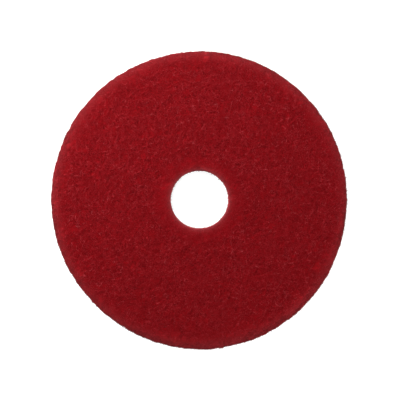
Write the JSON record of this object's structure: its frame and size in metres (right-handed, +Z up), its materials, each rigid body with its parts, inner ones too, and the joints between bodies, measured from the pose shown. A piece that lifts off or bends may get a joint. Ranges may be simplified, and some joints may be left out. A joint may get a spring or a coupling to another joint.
{
  "type": "floor machine pad",
  "caption": "Round red non-woven fibre floor pad with a centre hole, gripped by a rotary floor machine's pad driver to buff or spray-clean hard floors.",
  "frame": {"origin": "centre of the pad's underside, on the axis of the rim and the centre hole", "axes": "+Z up along the pad's axis, out of the face that the pad driver grips; X and Y are any two directions in the plane of the disc"},
  "size_m": [0.432, 0.432, 0.0254],
  "materials": {
    "pad_web": "matte open non-woven fibre web, red"
  },
  "bodies": {
    "root": {"floor_pad": "pad_web"}
  },
  "joints": []
}
